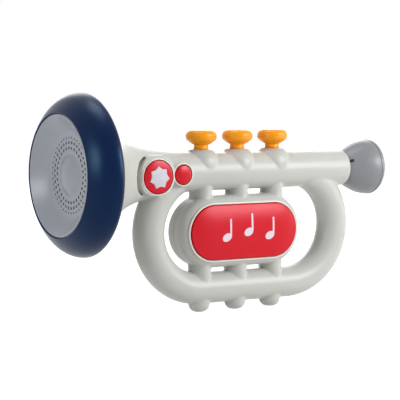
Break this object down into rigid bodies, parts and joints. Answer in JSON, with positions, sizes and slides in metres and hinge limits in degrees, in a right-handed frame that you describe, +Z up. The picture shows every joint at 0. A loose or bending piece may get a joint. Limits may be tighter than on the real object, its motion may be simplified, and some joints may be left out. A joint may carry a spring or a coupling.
{
  "type": "toy trumpet",
  "caption": "Battery toy trumpet in moulded plastic: flared bell with a speaker grille, press valves, a loop handle, front push buttons and a cup mouthpiece.",
  "frame": {"origin": "centre of the bounding box in X and Y, at the height of the feet's flat undersides", "axes": "+X along the main tube from the bell to the mouthpiece, -Y out of the side with the push buttons, +Z up through the valves"},
  "size_m": [0.2688, 0.1114, 0.1561],
  "materials": {
    "body": "pale warm grey, satin",
    "blue": "dark blue, satin gloss",
    "grille": "mid grey, satin",
    "orange": "orange, satin gloss",
    "red": "red, glossy",
    "white": "cloudy white light window",
    "black": "black",
    "paper": "black speaker paper",
    "magnet": "ferrite magnet with steel plates",
    "steel": "zinc-plated or nickel-plated steel",
    "board": "green solder mask",
    "cell": "plain dark sleeve"
  },
  "bodies": {
    "trumpet": {"front_body_shell": "body", "rear_body_shell": "body", "battery_door": "body", "battery_door_screw": "steel", "bell_rim": "blue", "speaker_grille": "grille", "speaker_frame": "steel", "speaker_cone": "paper", "speaker_magnet": "magnet", "speaker_screw_1": "steel", "speaker_screw_2": "steel", "speaker_screw_3": "steel", "speaker_wire_red": "red", "speaker_wire_black": "black", "valve_spring_1": "steel", "valve_spring_2": "steel", "valve_spring_3": "steel", "valve_switch_1": "black", "valve_switch_2": "black", "valve_switch_3": "black", "valve_board": "board", "star_button_spring": "steel", "star_switch": "black", "small_button_spring": "steel", "small_switch": "black", "button_board": "board", "music_spring_left": "steel", "music_spring_right": "steel", "music_switch": "black", "main_board": "board", "battery_tray": "black", "battery_cell_1": "cell", "battery_cell_2": "cell", "battery_cell_3": "cell", "contact_left_single": "steel", "contact_left_double": "steel", "contact_right_single": "steel", "contact_right_double": "steel", "contact_spring_1": "steel", "contact_spring_2": "steel", "contact_spring_3": "steel", "power_switch_body": "black", "mouthpiece": "grille", "whistle_insert": "black", "body_screw_1": "steel", "body_screw_2": "steel", "body_screw_3": "steel", "body_screw_4": "steel", "body_screw_5": "steel", "body_screw_6": "steel", "body_screw_7": "steel"},
    "valve_1": {"valve_cap_1": "orange"},
    "valve_2": {"valve_cap_2": "orange"},
    "valve_3": {"valve_cap_3": "orange"},
    "star_key": {"star_button": "red", "star_inlay": "white"},
    "small_key": {"small_button": "red"},
    "music_key": {"music_button": "red"},
    "power_key": {"power_slider": "black"}
  },
  "joints": [
    {"name": "valve_1_press", "type": "slide", "parent": "trumpet", "child": "valve_1", "axis": [0, 0, -1], "range_m": [0, 0.0025], "stiffness_N_per_m": 300, "springref_m": -0.002, "deforming": ["valve_spring_1"]},
    {"name": "valve_2_press", "type": "slide", "parent": "trumpet", "child": "valve_2", "axis": [0, 0, -1], "range_m": [0, 0.0025], "stiffness_N_per_m": 300, "springref_m": -0.002, "deforming": ["valve_spring_2"]},
    {"name": "valve_3_press", "type": "slide", "parent": "trumpet", "child": "valve_3", "axis": [0, 0, -1], "range_m": [0, 0.0025], "stiffness_N_per_m": 300, "springref_m": -0.002, "deforming": ["valve_spring_3"]},
    {"name": "star_button_press", "type": "slide", "parent": "trumpet", "child": "star_key", "axis": [0, 1, 0], "range_m": [0, 0.0012], "stiffness_N_per_m": 300, "springref_m": -0.002, "deforming": ["star_button_spring"]},
    {"name": "small_button_press", "type": "slide", "parent": "trumpet", "child": "small_key", "axis": [0, 1, 0], "range_m": [0, 0.0012], "stiffness_N_per_m": 300, "springref_m": -0.002, "deforming": ["small_button_spring"]},
    {"name": "music_button_press", "type": "slide", "parent": "trumpet", "child": "music_key", "axis": [0, 1, 0], "range_m": [0, 0.0015], "stiffness_N_per_m": 400, "springref_m": -0.002, "deforming": ["music_spring_left", "music_spring_right"]},
    {"name": "power_switch_slide", "type": "slide", "parent": "trumpet", "child": "power_key", "axis": [1, 0, 0], "range_m": [-0.002, 0.002]}
  ]
}
